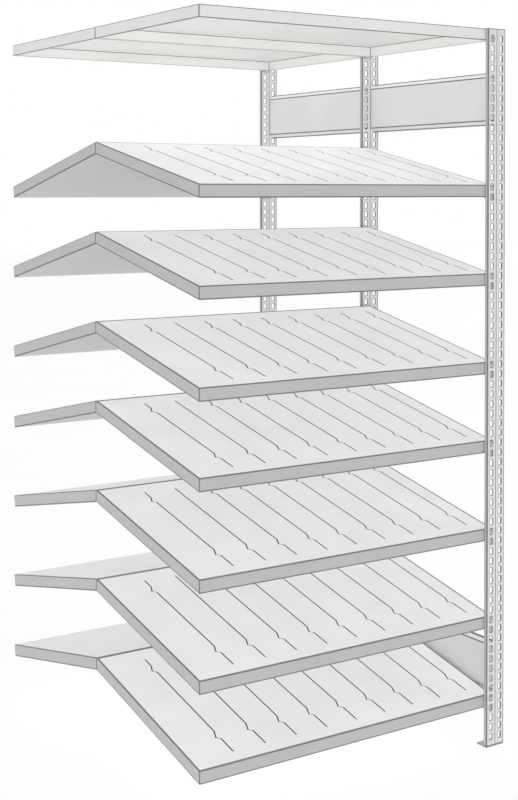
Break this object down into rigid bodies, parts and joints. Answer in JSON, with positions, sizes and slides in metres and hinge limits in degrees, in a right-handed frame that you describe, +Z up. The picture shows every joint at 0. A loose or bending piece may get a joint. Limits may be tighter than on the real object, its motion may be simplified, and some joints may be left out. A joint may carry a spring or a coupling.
{
  "type": "kanban shelving unit",
  "caption": "Double-sided add-on shelving bay: slotted posts at one end, level covers on top, and tilted bin shelves falling away from the middle to both sides.",
  "frame": {"origin": "on the floor, at the centre of the bay's plan", "axes": "+Z up, front towards -Y, the post frame at +X and the free ends of the shelves at -X"},
  "size_m": [1.034, 1.242, 2.1],
  "materials": {
    "shelf_paint": "light grey powder coat, satin",
    "post_paint": "light grey powder coat, satin",
    "panel_paint": "light grey powder coat, satin",
    "clip_zinc": "bright zinc plating"
  },
  "bodies": {
    "root": {"post_front": "post_paint", "post_middle": "post_paint", "post_rear": "post_paint", "foot_front": "post_paint", "foot_middle": "post_paint", "foot_rear": "post_paint", "panel_top_front": "panel_paint", "panel_top_rear": "panel_paint", "panel_bottom_front": "panel_paint", "panel_bottom_rear": "panel_paint", "cover_front": "shelf_paint", "cover_rear": "shelf_paint", "shelf_front_1": "shelf_paint", "shelf_front_2": "shelf_paint", "shelf_front_3": "shelf_paint", "shelf_front_4": "shelf_paint", "shelf_front_5": "shelf_paint", "shelf_front_6": "shelf_paint", "shelf_front_7": "shelf_paint", "shelf_rear_1": "shelf_paint", "shelf_rear_2": "shelf_paint", "shelf_rear_3": "shelf_paint", "shelf_rear_4": "shelf_paint", "shelf_rear_5": "shelf_paint", "shelf_rear_6": "shelf_paint", "shelf_rear_7": "shelf_paint", "clip_front_post_cover": "clip_zinc", "clip_front_post_1": "clip_zinc", "clip_front_post_2": "clip_zinc", "clip_front_post_3": "clip_zinc", "clip_front_post_4": "clip_zinc", "clip_front_post_5": "clip_zinc", "clip_front_post_6": "clip_zinc", "clip_front_post_7": "clip_zinc", "clip_middle_post_front_cover": "clip_zinc", "clip_middle_post_front_1": "clip_zinc", "clip_middle_post_front_2": "clip_zinc", "clip_middle_post_front_3": "clip_zinc", "clip_middle_post_front_4": "clip_zinc", "clip_middle_post_front_5": "clip_zinc", "clip_middle_post_front_6": "clip_zinc", "clip_middle_post_front_7": "clip_zinc", "clip_middle_post_rear_cover": "clip_zinc", "clip_middle_post_rear_1": "clip_zinc", "clip_middle_post_rear_2": "clip_zinc", "clip_middle_post_rear_3": "clip_zinc", "clip_middle_post_rear_4": "clip_zinc", "clip_middle_post_rear_5": "clip_zinc", "clip_middle_post_rear_6": "clip_zinc", "clip_middle_post_rear_7": "clip_zinc", "clip_rear_post_cover": "clip_zinc", "clip_rear_post_1": "clip_zinc", "clip_rear_post_2": "clip_zinc", "clip_rear_post_3": "clip_zinc", "clip_rear_post_4": "clip_zinc", "clip_rear_post_5": "clip_zinc", "clip_rear_post_6": "clip_zinc", "clip_rear_post_7": "clip_zinc"}
  },
  "joints": []
}
